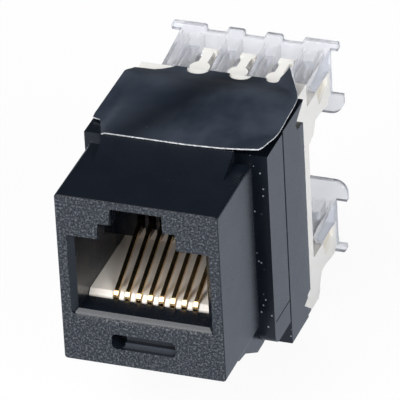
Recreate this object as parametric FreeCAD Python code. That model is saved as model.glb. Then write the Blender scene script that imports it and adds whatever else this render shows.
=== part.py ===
"""Keystone jack: an eight-way plug socket with two rear rows of wire terminals.

All lengths are millimetres.  The origin is the middle of the front face's
lower edge.  +X is to the right seen from the front, +Y goes back through the
panel and +Z is up.  Each piece is written to parts/NODE.step.
"""

import FreeCAD, Part
import math
import os

V = FreeCAD.Vector

# ---- bezel: the block that shows through the panel -------------------------
BEZEL_WIDTH = 14.5
BEZEL_HEIGHT = 16.3
BEZEL_DEPTH = 8.6
BEZEL_EDGE_ROUND = 0.3

# ---- neck and flange: the panel sits between them --------------------------
PANEL_GAP = 1.35
NECK_SIDE_INSET = 0.5
NECK_TOP_INSET = 0.7
NECK_BOTTOM_INSET = 0.2
JOIN_OVERLAP = 0.5
FLANGE_OVERHANG = 0.95
FLANGE_DEPTH = 3.9
FLANGE_RISE = 0.15
FLANGE_DROP = 2.4
FLANGE_LOWER_ROUND = 0.9
FLANGE_SEAM_HEIGHT = -0.25
SEAM_WIDTH = 0.12
SEAM_DEPTH = 0.12

# ---- snap features of the front housing ------------------------------------
TOOTH_WIDTH = 11.6
TOOTH_LENGTH = 2.95
TOOTH_HEIGHT = 1.2
TOOTH_LAND = 0.35
CATCH_START = 3.3
CATCH_STEP_LENGTH = 1.4
CATCH_STEP_HEIGHT = 0.9
CATCH_LAND_LENGTH = 1.6
CATCH_LAND_DROP = 0.25
CATCH_HEIGHT = 2.9

# ---- plug cavity -----------------------------------------------------------
CAVITY_WIDTH = 12.1
CAVITY_FLOOR = 4.7
CAVITY_HEIGHT = 7.75
CAVITY_DEPTH = 10.2
LEAD_IN = 0.28
LEAD_IN_DEPTH = 0.8
LATCH_SLOT_WIDTH = 6.9
LATCH_SLOT_HEIGHT = 1.55
LATCH_KEY_WIDTH = 4.6
LATCH_KEY_HEIGHT = 1.6
LATCH_LIP_DEPTH = 1.4
LATCH_POCKET_MARGIN = 0.9
COMB_WALL_THICKNESS = 2.2
COMB_SLOT_CLEARANCE = 0.16
COMB_WALL_CLEARANCE = 0.3

# ---- icon slot in the front face -------------------------------------------
ICON_SLOT_WIDTH = 5.7
ICON_SLOT_HEIGHT = 1.45
ICON_SLOT_CENTRE = 2.45
ICON_SLOT_DEPTH = 0.8
ICON_SLOT_ROUND = 0.4
ICON_LEDGE_HEIGHT = 0.55
ICON_LEDGE_SETBACK = 0.35
ICON_PICK_WIDTH = 1.1
ICON_PICK_DEPTH = 1.7

# ---- spigot of the front housing inside the sleeve -------------------------
SPIGOT_LENGTH = 1.5
SPIGOT_WALL = 0.75
SPIGOT_FLOOR_THICKNESS = 0.8

# ---- rear sleeve -----------------------------------------------------------
PARTING_GAP = 0.25
SLEEVE_DEPTH = 5.5
SLEEVE_RISE = 0.3
SLEEVE_DROP = 4.8
SLEEVE_SIDE_WALL = 1.25
SLEEVE_TOP_WALL = 1.5
SLEEVE_BOTTOM_WALL = 0.8
SLEEVE_REAR_BAND = 1.1
SLEEVE_BAND_INSET = 0.12
TOP_NOTCH_DEPTH = 2.3
TOP_NOTCH_DROP = 1.3
TOP_NOTCH_WIDTH = 2.3
TOP_NOTCH_CORNER_DEPTH = 1.84
TOP_NOTCH_CORNER_DROP = 1.955
LOWER_NOTCH_DEPTH = 2.0
LOWER_NOTCH_WIDTH = 2.0
LOWER_NOTCH_SLOPE = 0.5
LOWER_LIP_THICKNESS = 0.2

# ---- clearances ------------------------------------------------------------
SLIP_FIT = 0.1
PIN_HOLE_CLEARANCE = 0.14

# ---- contact carrier -------------------------------------------------------
CARRIER_FLOOR_RISE = 0.3
CARRIER_THICKNESS = 1.7
CARRIER_SIDE_CLEARANCE = 0.05
CARRIER_TOOTH_SETBACK = 0.1
CARRIER_STEP_SETBACK = 2.1
CARRIER_STEP_HEIGHT = 1.35
CARRIER_NOSE_CHAMFER = 0.4

# ---- contact wires ---------------------------------------------------------
CONTACT_COUNT = 8
CONTACT_PITCH = 1.02
CONTACT_WIDTH = 0.38
CONTACT_THICKNESS = 0.3
CONTACT_FRONT = 3.25
CONTACT_BEND_RADIUS = 0.8
CONTACT_RISE_ANGLE = 26.0
CONTACT_REACH_INTO_COMB = 1.2
CONTACT_PIN_STICK_OUT = 0.5
CONTACT_FRONT_CLEARANCE = 0.3

# ---- circuit board ---------------------------------------------------------
BOARD_THICKNESS = 1.2
BOARD_SEAT_GAP = 0.1

# ---- terminal block --------------------------------------------------------
BLOCK_DEPTH = 7.4
BLOCK_COLLAR_RISE = 0.15
BLOCK_COLLAR_DROP = 3.1
BLOCK_COLLAR_GAP = 0.15
UPPER_ROW_DROP = 2.25
LOWER_ROW_RISE = 4.7
TOWER_HEIGHT = 2.2
TOWER_LENGTH = 6.0
TOWER_BELLY = 0.3
TOWER_HEEL_DROP = 0.65
TOWER_HEEL_SETBACK = 0.6
TOWER_ROOT_DROP = 1.35
TOWER_ROOT_REACH = 1.9
TOWER_ROOT_CORNER = 1.33
TOWER_ROOT_CHAMFER = 0.3
FOOT_REACH = 1.3
FOOT_CHAMFER = 0.5
FOOT_HEIGHT = 1.2
TERMINAL_PITCH = 3.5
TERMINALS_PER_ROW = 4
WIRE_SLOT_WIDTH = 1.0
WIRE_SLOT_DEPTH = 5.0
POST_SETBACK = 0.8
POST_NOSE_RADIUS = 0.9
POST_STEM_WIDTH = 0.8
POST_STEM_LENGTH = 2.6
POST_HEAD_WIDTH = 1.4
POST_HEAD_LENGTH = 0.6
POST_HEIGHT = 1.5
POST_ROOT = 0.5
SIDE_PATCH_DEPTH = 0.3
SIDE_PATCH_TOP_LENGTH = 3.7
SIDE_PATCH_LOW_LENGTH = 2.1
SIDE_PATCH_HEIGHT = 1.65
SIDE_PATCH_REAR_HEIGHT = 0.9
SIDE_PATCH_MARGIN = 0.2
SIDE_PATCH_REAR_MARGIN = 0.8
EAR_LENGTH = 4.4
EAR_HEIGHT = 2.0
GUIDE_RECESS_DEPTH = 0.8
GUIDE_RECESS_MARGIN = 1.6
PIN_RELIEF_HEIGHT = 1.4

# ---- terminal blades -------------------------------------------------------
BLADE_WIDTH = 2.0
BLADE_THICKNESS = 0.4
BLADE_SETBACK = 1.0
BLADE_DROP = 0.7
BLADE_SLOT_WIDTH = 0.3
BLADE_SLOT_DEPTH = 3.2
BLADE_MOUTH_WIDTH = 0.9
BLADE_PIN_WIDTH = 0.6
BLADE_PIN_STICK_OUT = 0.5

# ---- clear caps ------------------------------------------------------------
CAP_WALL = 0.6
CAP_CLEARANCE = 0.12
CAP_HEIGHT = 2.8
CAP_CROWN_HEIGHT = 0.55
CAP_CROWN_OVERLAP = 0.1
CAP_CROWN_ROUND = 0.22
CAP_BAR_DEPTH = 0.7
CAP_TONGUE_OVERHANG = 0.8
CAP_OUTER_REACH = 0.2
CAP_ARM_WIDTH = 1.44
CAP_CROWN_WIDTH = 1.6
CAP_ARM_WALL = 0.4
CAP_ARM_LENGTH = 5.9
CAP_ARM_FLOOR = 0.45
CAP_SIDE_WALL = 0.4
CAP_LIP_HEIGHT = 1.9
CAP_LIP_ROUND = 1.2
CAP_LIP_OVERHANG = 1.1

# ---- film label ------------------------------------------------------------
FILM_THICKNESS = 0.15
FILM_LIFT = 0.08
FILM_SAG = 0.45
FILM_FRONT_OVERHANG = 0.3
FILM_CREST_SETBACK = 1.0
FILM_FRONT_BOW = 0.5
FILM_CORNER_CUT = 3.2
FILM_NOTCH_WIDTH = 2.1
FILM_NOTCH_LENGTH = 3.2
FILM_NOTCH_SLOPE = 0.7
FILM_REAR_LENGTH = 4.3
FILM_FOOT_STEP = 0.85
FILM_LEFT_CUT_LENGTH = 1.4
FILM_LEFT_CUT_WIDTH = 1.8
FILM_SCALLOPS = ((-2.9, 1.0), (1.0, 1.0), (4.0, 0.65))
FILM_FLAP_SETBACK = 0.8
FILM_FLAP_RISE = 1.25
FILM_FLAP_OUTLINE = ((8.0, -0.1), (7.6, 0.3), (6.9, 1.35), (6.05, 2.4),
                     (5.3, 1.95), (5.15, 1.3), (4.75, -0.1))

# ---- closeness used to pick edges and to stop a search ---------------------
TOLERANCE = 0.001
SEARCH_LIMIT = 1e-9

# ---- places worked out from the sizes above --------------------------------
FLANGE_FRONT = BEZEL_DEPTH + PANEL_GAP
FLANGE_REAR = FLANGE_FRONT + FLANGE_DEPTH
SLEEVE_FRONT = FLANGE_REAR + PARTING_GAP
SLEEVE_REAR = SLEEVE_FRONT + SLEEVE_DEPTH
BODY_HALF_WIDTH = BEZEL_WIDTH / 2 + FLANGE_OVERHANG
SLEEVE_TOP = BEZEL_HEIGHT + SLEEVE_RISE
BORE_HALF_WIDTH = BODY_HALF_WIDTH - SLEEVE_SIDE_WALL
BORE_TOP = SLEEVE_TOP - SLEEVE_TOP_WALL
BORE_BOTTOM = SLEEVE_BOTTOM_WALL - SLEEVE_DROP
SPIGOT_END = FLANGE_REAR + SPIGOT_LENGTH
CAVITY_TOP = CAVITY_FLOOR + CAVITY_HEIGHT
LATCH_SLOT_TOP = CAVITY_TOP + LATCH_SLOT_HEIGHT
LATCH_KEY_TOP = LATCH_SLOT_TOP + LATCH_KEY_HEIGHT
TOOTH_TOP = BEZEL_HEIGHT + TOOTH_HEIGHT

CARRIER_TOP = CAVITY_FLOOR + CARRIER_FLOOR_RISE
CARRIER_BOTTOM = CARRIER_TOP - CARRIER_THICKNESS
CARRIER_STEP_TOP = CARRIER_TOP + CARRIER_STEP_HEIGHT
CARRIER_STEP_FRONT = CAVITY_DEPTH + CARRIER_STEP_SETBACK
CARRIER_REAR = SPIGOT_END - SLIP_FIT
NOSE_RADIUS = CONTACT_BEND_RADIUS - CONTACT_THICKNESS / 2 - SLIP_FIT
BEND_CENTRE_Y = CONTACT_FRONT + CONTACT_BEND_RADIUS + CONTACT_THICKNESS / 2
BEND_CENTRE_Z = CARRIER_TOP - NOSE_RADIUS
CONTACT_RUN_Z = BEND_CENTRE_Z - CONTACT_BEND_RADIUS
CONTACT_END_Y = CAVITY_DEPTH + CONTACT_REACH_INTO_COMB
COMB_WALL_REAR = CAVITY_DEPTH + COMB_WALL_THICKNESS
COMB_WALL_BOTTOM = CARRIER_STEP_TOP + SLIP_FIT

BOARD_FRONT = SPIGOT_END + BOARD_SEAT_GAP
BOARD_REAR = BOARD_FRONT + BOARD_THICKNESS
BLOCK_FRONT = BOARD_REAR + BOARD_SEAT_GAP
BLOCK_REAR = BLOCK_FRONT + BLOCK_DEPTH
BLOCK_HALF_WIDTH = BORE_HALF_WIDTH - SLIP_FIT
COLLAR_FRONT = SLEEVE_REAR + BLOCK_COLLAR_GAP
COLLAR_TOP = BORE_TOP + BLOCK_COLLAR_RISE
COLLAR_BOTTOM = BORE_BOTTOM - BLOCK_COLLAR_DROP
TOWER_REAR = BLOCK_REAR + TOWER_LENGTH
ROW_TOPS = (COLLAR_TOP - UPPER_ROW_DROP, COLLAR_BOTTOM + LOWER_ROW_RISE)
BLADE_REAR = TOWER_REAR - BLADE_SETBACK
CAP_FRONT = TOWER_REAR + CAP_CLEARANCE
CAP_REAR = CAP_FRONT + CAP_WALL
FLAP_ROOT = SLEEVE_REAR + FILM_FLAP_SETBACK


# ---- small shape helpers ---------------------------------------------------
def block(x_range, y_range, z_range):
    """A plain rectangular block between three pairs of limits."""
    size = [high - low for low, high in (x_range, y_range, z_range)]
    return Part.makeBox(*size, V(x_range[0], y_range[0], z_range[0]))


def centred(half_width, y_range, z_range):
    """A block that is symmetric about the middle plane."""
    return block((-half_width, half_width), y_range, z_range)


def prism(points, direction):
    """A flat outline of 3-D points, pushed along a direction."""
    return Part.Face(Part.makePolygon(points + points[:1])).extrude(direction)


def side_prism(points_yz, half_width):
    """A side-view outline pushed across the jack's width."""
    points = [V(-half_width, y, z) for y, z in points_yz]
    return prism(points, V(2 * half_width, 0, 0))


def plan_prism(points_xy, z_range):
    """A top-view outline pushed upwards."""
    points = [V(x, y, z_range[0]) for x, y in points_xy]
    return prism(points, V(0, 0, z_range[1] - z_range[0]))


def edges_along(shape, axis):
    """The straight edges of a shape that run along one axis."""
    found = []
    for edge in shape.Edges:
        run = edge.Vertexes[-1].Point - edge.Vertexes[0].Point
        if run.Length > 0 and abs(run.dot(axis)) > (1 - TOLERANCE) * run.Length:
            found.append(edge)
    return found


def rounded_along(shape, axis, radius):
    """Round all the edges that run along one axis."""
    return shape.makeFillet(radius, edges_along(shape, axis))


def joined(shapes):
    """One solid from overlapping or touching shapes."""
    return shapes[0].fuse(shapes[1:]).removeSplitter()


def row_positions(count, pitch):
    """Centres of evenly pitched copies about the middle plane."""
    return [(index - (count - 1) / 2) * pitch for index in range(count)]


def save(name, shape):
    """Write one node and print its count of solids, soundness and volume."""
    print(f"{name}: solids {len(shape.Solids)}, valid {shape.isValid()}, volume {shape.Volume:.2f}")
    shape.exportStep(os.path.join("parts", name + ".step"))


# ---- front housing ---------------------------------------------------------
def bezel_body():
    """The rounded block that fills the panel opening."""
    body = centred(BEZEL_WIDTH / 2, (0, BEZEL_DEPTH), (0, BEZEL_HEIGHT))
    body = rounded_along(body, V(0, 1, 0), BEZEL_EDGE_ROUND)
    front_edges = [edge for edge in body.Edges if edge.BoundBox.YMax < TOLERANCE]
    return body.makeFillet(BEZEL_EDGE_ROUND / 2, front_edges)


def flange_body():
    """The wide flange behind the panel, rounded below, with its side seam."""
    flange = centred(BODY_HALF_WIDTH, (FLANGE_FRONT, FLANGE_REAR),
                     (-FLANGE_DROP, BEZEL_HEIGHT + FLANGE_RISE))
    lower_front = [edge for edge in edges_along(flange, V(1, 0, 0))
                   if edge.BoundBox.ZMax < 0 and edge.BoundBox.YMax < FLANGE_REAR]
    flange = flange.makeFillet(FLANGE_LOWER_ROUND, lower_front)
    seam_half = BODY_HALF_WIDTH - SEAM_DEPTH
    for side in (-1, 1):
        x_range = sorted((side * seam_half, side * (BODY_HALF_WIDTH + 1)))
        seam = block(x_range, (FLANGE_FRONT + BEZEL_EDGE_ROUND, FLANGE_REAR + 1),
                     (FLANGE_SEAM_HEIGHT, FLANGE_SEAM_HEIGHT + SEAM_WIDTH))
        flange = flange.cut(seam)
    return flange


def latch_tooth():
    """The top ramp that snaps behind the panel's upper edge."""
    start = BEZEL_DEPTH - TOOTH_LENGTH
    outline = [(start, BEZEL_HEIGHT - 1), (start, BEZEL_HEIGHT),
               (BEZEL_DEPTH - TOOTH_LAND, TOOTH_TOP), (BEZEL_DEPTH, TOOTH_TOP),
               (BEZEL_DEPTH, BEZEL_HEIGHT - 1)]
    return side_prism(outline, TOOTH_WIDTH / 2)


def bottom_catch():
    """The stepped ramp that hooks under the panel's lower edge."""
    step_end = CATCH_START + CATCH_STEP_LENGTH
    land_end = step_end + CATCH_LAND_LENGTH
    outline = [(CATCH_START, 1), (CATCH_START, 0), (step_end, -CATCH_STEP_HEIGHT),
               (land_end, -CATCH_STEP_HEIGHT - CATCH_LAND_DROP),
               (BEZEL_DEPTH + PANEL_GAP / 2, -CATCH_HEIGHT),
               (FLANGE_FRONT + FLANGE_LOWER_ROUND, -CATCH_HEIGHT),
               (FLANGE_REAR - SEAM_WIDTH, -FLANGE_DROP), (FLANGE_REAR - SEAM_WIDTH, 1)]
    return side_prism(outline, BEZEL_WIDTH / 2 - NECK_SIDE_INSET)


def plug_cavity():
    """The stepped eight-way plug opening with its flared mouth."""
    half = CAVITY_WIDTH / 2
    cavity = centred(half, (-1, CAVITY_DEPTH), (CAVITY_FLOOR, CAVITY_TOP))
    mouth_half = half + LEAD_IN
    mouth_low = CAVITY_FLOOR - LEAD_IN
    mouth_front = [V(-mouth_half, 0, mouth_low), V(mouth_half, 0, mouth_low),
                   V(mouth_half, 0, CAVITY_TOP), V(-mouth_half, 0, CAVITY_TOP)]
    mouth_back = [V(-half, LEAD_IN_DEPTH, CAVITY_FLOOR), V(half, LEAD_IN_DEPTH, CAVITY_FLOOR),
                  V(half, LEAD_IN_DEPTH, CAVITY_TOP), V(-half, LEAD_IN_DEPTH, CAVITY_TOP)]
    wires = [Part.makePolygon(points + points[:1]) for points in (mouth_front, mouth_back)]
    mouth = Part.makeLoft(wires, True, True)
    slot = centred(LATCH_SLOT_WIDTH / 2, (-1, CAVITY_DEPTH), (CAVITY_TOP - 1, LATCH_SLOT_TOP))
    key = centred(LATCH_KEY_WIDTH / 2, (-1, CAVITY_DEPTH), (LATCH_SLOT_TOP - 1, LATCH_KEY_TOP))
    pocket = centred(LATCH_SLOT_WIDTH / 2 + LATCH_POCKET_MARGIN, (LATCH_LIP_DEPTH, CAVITY_DEPTH),
                     (CAVITY_TOP - 1, LATCH_SLOT_TOP + LATCH_KEY_HEIGHT / 2))
    return joined([cavity, mouth, slot, key, pocket])


def comb_slots():
    """Slots in the rear wall of the cavity where the contact tips float."""
    run = CONTACT_END_Y - BEND_CENTRE_Y + CONTACT_BEND_RADIUS
    rise = run * math.tan(math.radians(CONTACT_RISE_ANGLE))
    top = CARRIER_TOP + rise + CONTACT_THICKNESS + COMB_WALL_CLEARANCE
    half = CONTACT_WIDTH / 2 + COMB_SLOT_CLEARANCE
    return [block((x - half, x + half), (CAVITY_DEPTH - 1, CONTACT_END_Y + COMB_WALL_CLEARANCE),
                  (COMB_WALL_BOTTOM - 1, top))
            for x in row_positions(CONTACT_COUNT, CONTACT_PITCH)]


def carrier_bay():
    """The room under the plug cavity and behind its wall for the carrier."""
    half = CAVITY_WIDTH / 2
    bay_front = CONTACT_FRONT - CONTACT_FRONT_CLEARANCE
    rear_top = BORE_TOP - SPIGOT_WALL - SLIP_FIT
    floor_room = centred(half, (bay_front, SPIGOT_END + 1),
                         (CARRIER_BOTTOM - SLIP_FIT, CAVITY_FLOOR + JOIN_OVERLAP))
    passage = centred(half, (CAVITY_DEPTH - 1, SPIGOT_END + 1), (CAVITY_FLOOR, COMB_WALL_BOTTOM))
    rear_room = centred(half, (COMB_WALL_REAR, SPIGOT_END + 1), (CAVITY_FLOOR, rear_top))
    return [floor_room, passage, rear_room]


def icon_slot():
    """The clip-in icon's rounded slot, with a ledge and a pick pocket."""
    half = ICON_SLOT_WIDTH / 2
    z_low = ICON_SLOT_CENTRE - ICON_SLOT_HEIGHT / 2
    z_high = z_low + ICON_SLOT_HEIGHT
    slot = centred(half, (-1, ICON_SLOT_DEPTH), (z_low, z_high))
    slot = rounded_along(slot, V(0, 1, 0), ICON_SLOT_ROUND)
    ledge = centred(half + 1, (ICON_LEDGE_SETBACK, ICON_SLOT_DEPTH + 1),
                    (z_low - 1, z_low + ICON_LEDGE_HEIGHT))
    pick = block((-half, ICON_PICK_WIDTH - half), (-1, ICON_PICK_DEPTH), (z_low, z_high))
    pick = rounded_along(pick, V(0, 1, 0), ICON_SLOT_ROUND)
    return joined([slot.cut(ledge), pick])


def front_housing():
    """The black front moulding: bezel, neck, flange, snaps and spigot."""
    neck = centred(BEZEL_WIDTH / 2 - NECK_SIDE_INSET,
                   (BEZEL_DEPTH - JOIN_OVERLAP, FLANGE_FRONT + JOIN_OVERLAP),
                   (NECK_BOTTOM_INSET, BEZEL_HEIGHT - NECK_TOP_INSET))
    spigot = centred(BORE_HALF_WIDTH - SLIP_FIT, (FLANGE_REAR - JOIN_OVERLAP, SPIGOT_END),
                     (SPIGOT_FLOOR_THICKNESS - FLANGE_DROP, BORE_TOP - SLIP_FIT))
    body = joined([bezel_body(), neck, flange_body(), latch_tooth(), bottom_catch(), spigot])
    core_top = CARRIER_BOTTOM - SLIP_FIT - SPIGOT_FLOOR_THICKNESS
    core_out = centred(CAVITY_WIDTH / 2, (FLANGE_FRONT, SPIGOT_END + 1),
                       (2 * SPIGOT_FLOOR_THICKNESS - FLANGE_DROP, core_top))
    return body.cut([plug_cavity(), icon_slot(), core_out] + carrier_bay() + comb_slots())


# ---- rear sleeve -----------------------------------------------------------
def rear_sleeve():
    """The black sleeve with notched rear edges that grips the terminal block."""
    lower_rear = LOWER_NOTCH_WIDTH + LOWER_LIP_THICKNESS - SLEEVE_DROP
    outline = [(SLEEVE_FRONT, SLEEVE_TOP), (SLEEVE_REAR, SLEEVE_TOP),
               (SLEEVE_REAR - TOP_NOTCH_DEPTH, SLEEVE_TOP - TOP_NOTCH_DROP),
               (SLEEVE_REAR - TOP_NOTCH_CORNER_DEPTH, SLEEVE_TOP - TOP_NOTCH_CORNER_DROP),
               (SLEEVE_REAR, SLEEVE_TOP - TOP_NOTCH_WIDTH), (SLEEVE_REAR, lower_rear),
               (SLEEVE_REAR - LOWER_NOTCH_DEPTH, lower_rear - LOWER_NOTCH_SLOPE),
               (SLEEVE_REAR, LOWER_LIP_THICKNESS - SLEEVE_DROP),
               (SLEEVE_REAR - LOWER_LIP_THICKNESS, -SLEEVE_DROP), (SLEEVE_FRONT, -SLEEVE_DROP)]
    sleeve = side_prism(outline, BODY_HALF_WIDTH)
    band = centred(BODY_HALF_WIDTH + 1, (SLEEVE_REAR - SLEEVE_REAR_BAND, SLEEVE_REAR + 1),
                   (-SLEEVE_DROP - 1, SLEEVE_TOP - TOP_NOTCH_DROP))
    band = band.cut(centred(BODY_HALF_WIDTH - SLEEVE_BAND_INSET, (0, SLEEVE_REAR + 2),
                            (-SLEEVE_DROP - 2, SLEEVE_TOP + 1)))
    bore = centred(BORE_HALF_WIDTH, (SLEEVE_FRONT - 1, SLEEVE_REAR + 1), (BORE_BOTTOM, BORE_TOP))
    return sleeve.cut([band, bore])


# ---- contact carrier and contacts ------------------------------------------
def contact_carrier():
    """The ivory comb that holds the contact wires under the plug cavity."""
    nose = CONTACT_FRONT + CARRIER_TOOTH_SETBACK
    outline = [(nose + CARRIER_NOSE_CHAMFER, CARRIER_BOTTOM), (nose, CARRIER_BOTTOM + CARRIER_NOSE_CHAMFER),
               (nose, CARRIER_TOP - CARRIER_NOSE_CHAMFER), (nose + CARRIER_NOSE_CHAMFER, CARRIER_TOP),
               (CARRIER_STEP_FRONT, CARRIER_TOP), (CARRIER_STEP_FRONT, CARRIER_STEP_TOP),
               (CARRIER_REAR, CARRIER_STEP_TOP), (CARRIER_REAR, CARRIER_BOTTOM)]
    half_width = CAVITY_WIDTH / 2 - CARRIER_SIDE_CLEARANCE
    carrier = side_prism(outline, half_width)
    slot_half = CONTACT_WIDTH / 2 + SLIP_FIT
    groove_top = CONTACT_RUN_Z + CONTACT_THICKNESS / 2 + SLIP_FIT
    cuts = []
    for x in row_positions(CONTACT_COUNT, CONTACT_PITCH):
        span = (x - slot_half, x + slot_half)
        cuts.append(block(span, (nose - 1, CARRIER_REAR + 1), (CARRIER_BOTTOM - 1, groove_top)))
        mouth = block(span, (nose - 1, BEND_CENTRE_Y), (CARRIER_BOTTOM - 1, CARRIER_TOP + 1))
        core = Part.makeCylinder(NOSE_RADIUS, 2 * slot_half,
                                 V(span[0], BEND_CENTRE_Y, BEND_CENTRE_Z), V(1, 0, 0))
        cuts.append(mouth.cut(core))
    return carrier.cut(cuts)


def contact_outline():
    """Side view of one contact: pin, run, front bend and rising spring."""
    angle = math.radians(CONTACT_RISE_ANGLE)
    along = V(0, math.cos(angle), math.sin(angle))
    normal = V(0, -math.sin(angle), math.cos(angle))
    centre = V(0, BEND_CENTRE_Y, BEND_CENTRE_Z)
    middle = (math.pi / 2 + angle + 3 * math.pi / 2) / 2
    middle_way = V(0, math.cos(middle), math.sin(middle))
    length = (CONTACT_END_Y - BEND_CENTRE_Y + CONTACT_BEND_RADIUS * math.sin(angle)) / math.cos(angle)
    pin_end = BOARD_REAR + CONTACT_PIN_STICK_OUT
    sides = []
    for radius in (CONTACT_BEND_RADIUS + CONTACT_THICKNESS / 2, CONTACT_BEND_RADIUS - CONTACT_THICKNESS / 2):
        low = centre - V(0, 0, radius)
        high = centre + normal * radius
        sides.append([V(0, pin_end, low.z), low, centre + middle_way * radius, high, high + along * length])
    outer, inner = sides
    edges = [Part.LineSegment(outer[0], outer[1]), Part.Arc(outer[1], outer[2], outer[3]),
             Part.LineSegment(outer[3], outer[4]), Part.LineSegment(outer[4], inner[4]),
             Part.LineSegment(inner[4], inner[3]), Part.Arc(inner[3], inner[2], inner[1]),
             Part.LineSegment(inner[1], inner[0]), Part.LineSegment(inner[0], outer[0])]
    return Part.Face(Part.Wire([edge.toShape() for edge in edges]))


def contact(x):
    """One gold-plated spring contact."""
    outline = contact_outline()
    outline.translate(V(x - CONTACT_WIDTH / 2, 0, 0))
    return outline.extrude(V(CONTACT_WIDTH, 0, 0))


# ---- circuit board ---------------------------------------------------------
def terminal_sites():
    """Every terminal as its row's tower top and its place across the row."""
    across = row_positions(TERMINALS_PER_ROW, TERMINAL_PITCH)
    return [(tower_top, x) for tower_top in ROW_TOPS for x in across]


def blade_height(tower_top):
    """Middle plane of the blades in a row."""
    return tower_top - BLADE_DROP


def circuit_board():
    """The upright board that joins contacts and blades."""
    board = centred(BORE_HALF_WIDTH - SLIP_FIT, (BOARD_FRONT, BOARD_REAR),
                    (BORE_BOTTOM + SLIP_FIT, BORE_TOP - SLIP_FIT))
    contact_hole = math.hypot(CONTACT_WIDTH, CONTACT_THICKNESS) / 2 + PIN_HOLE_CLEARANCE
    blade_hole = math.hypot(BLADE_PIN_WIDTH, BLADE_THICKNESS) / 2 + PIN_HOLE_CLEARANCE
    sites = [(contact_hole, x, CONTACT_RUN_Z) for x in row_positions(CONTACT_COUNT, CONTACT_PITCH)]
    sites += [(blade_hole, x, blade_height(top)) for top, x in terminal_sites()]
    holes = [Part.makeCylinder(radius, BOARD_THICKNESS + 2, V(x, BOARD_FRONT - 1, z), V(0, 1, 0))
             for radius, x, z in sites]
    return board.cut(holes)


# ---- terminal block and blades ---------------------------------------------
def tower(tower_top):
    """One ivory row with its sloping root under the tower."""
    bottom = tower_top - TOWER_HEIGHT
    belly = bottom - TOWER_BELLY
    root = belly - TOWER_ROOT_DROP
    outline = [(BLOCK_REAR - 1, tower_top), (TOWER_REAR, tower_top), (TOWER_REAR, bottom),
               (TOWER_REAR - TOWER_HEEL_SETBACK, bottom - TOWER_HEEL_DROP),
               (BLOCK_REAR + TOWER_LENGTH / 2, belly), (BLOCK_REAR + TOWER_ROOT_REACH, belly),
               (BLOCK_REAR + TOWER_ROOT_CORNER, root + TOWER_ROOT_CHAMFER), (BLOCK_REAR, root),
               (BLOCK_REAR - 1, root)]
    return side_prism(outline, BLOCK_HALF_WIDTH)


def block_foot():
    """The chamfered foot under the lower tower's root."""
    outline = [(BLOCK_REAR - 1, COLLAR_BOTTOM), (BLOCK_REAR + FOOT_REACH - FOOT_CHAMFER, COLLAR_BOTTOM),
               (BLOCK_REAR + FOOT_REACH, COLLAR_BOTTOM + FOOT_CHAMFER),
               (BLOCK_REAR + FOOT_REACH, COLLAR_BOTTOM + FOOT_HEIGHT),
               (BLOCK_REAR - 1, COLLAR_BOTTOM + FOOT_HEIGHT)]
    return side_prism(outline, BLOCK_HALF_WIDTH)


def divider_post(x, tower_top):
    """A T-shaped post with a half-round nose between two wire slots."""
    nose_y = BLOCK_REAR + POST_SETBACK + POST_NOSE_RADIUS
    z_low = tower_top - POST_ROOT
    rise = POST_HEIGHT + POST_ROOT
    nose = Part.makeCylinder(POST_NOSE_RADIUS, rise, V(x, nose_y, z_low))
    stem_end = nose_y + POST_STEM_LENGTH
    z_range = (z_low, z_low + rise)
    stem = block((x - POST_STEM_WIDTH / 2, x + POST_STEM_WIDTH / 2), (nose_y, stem_end), z_range)
    head = block((x - POST_HEAD_WIDTH / 2, x + POST_HEAD_WIDTH / 2),
                 (stem_end, stem_end + POST_HEAD_LENGTH), z_range)
    return joined([nose, stem, head])


def row_cuts(tower_top):
    """Wire slots, blade pockets and side patches of one row."""
    middle = blade_height(tower_top)
    pocket_half = BLADE_WIDTH / 2 + SLIP_FIT
    pocket_height = BLADE_THICKNESS / 2 + SLIP_FIT
    bottom = tower_top - TOWER_HEIGHT - 1
    cuts = []
    for x in row_positions(TERMINALS_PER_ROW, TERMINAL_PITCH):
        cuts.append(block((x - WIRE_SLOT_WIDTH / 2, x + WIRE_SLOT_WIDTH / 2),
                          (TOWER_REAR - WIRE_SLOT_DEPTH, TOWER_REAR + 1), (bottom, tower_top + 1)))
        cuts.append(block((x - pocket_half, x + pocket_half), (BLOCK_FRONT - 1, BLADE_REAR + SLIP_FIT),
                          (middle - pocket_height, middle + pocket_height)))
    patch_rear = TOWER_REAR - SIDE_PATCH_MARGIN
    low_rear = TOWER_REAR - SIDE_PATCH_REAR_MARGIN
    patch = [(patch_rear - SIDE_PATCH_TOP_LENGTH, tower_top + 1), (patch_rear, tower_top + 1),
             (low_rear, tower_top - SIDE_PATCH_REAR_HEIGHT),
             (low_rear - SIDE_PATCH_LOW_LENGTH, tower_top - SIDE_PATCH_HEIGHT)]
    skin = side_prism(patch, BLOCK_HALF_WIDTH + 1)
    core = centred(BLOCK_HALF_WIDTH - SIDE_PATCH_DEPTH, (BLOCK_FRONT, TOWER_REAR),
                   (bottom, tower_top + 1))
    cuts.append(skin.cut(core))
    return cuts


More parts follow.
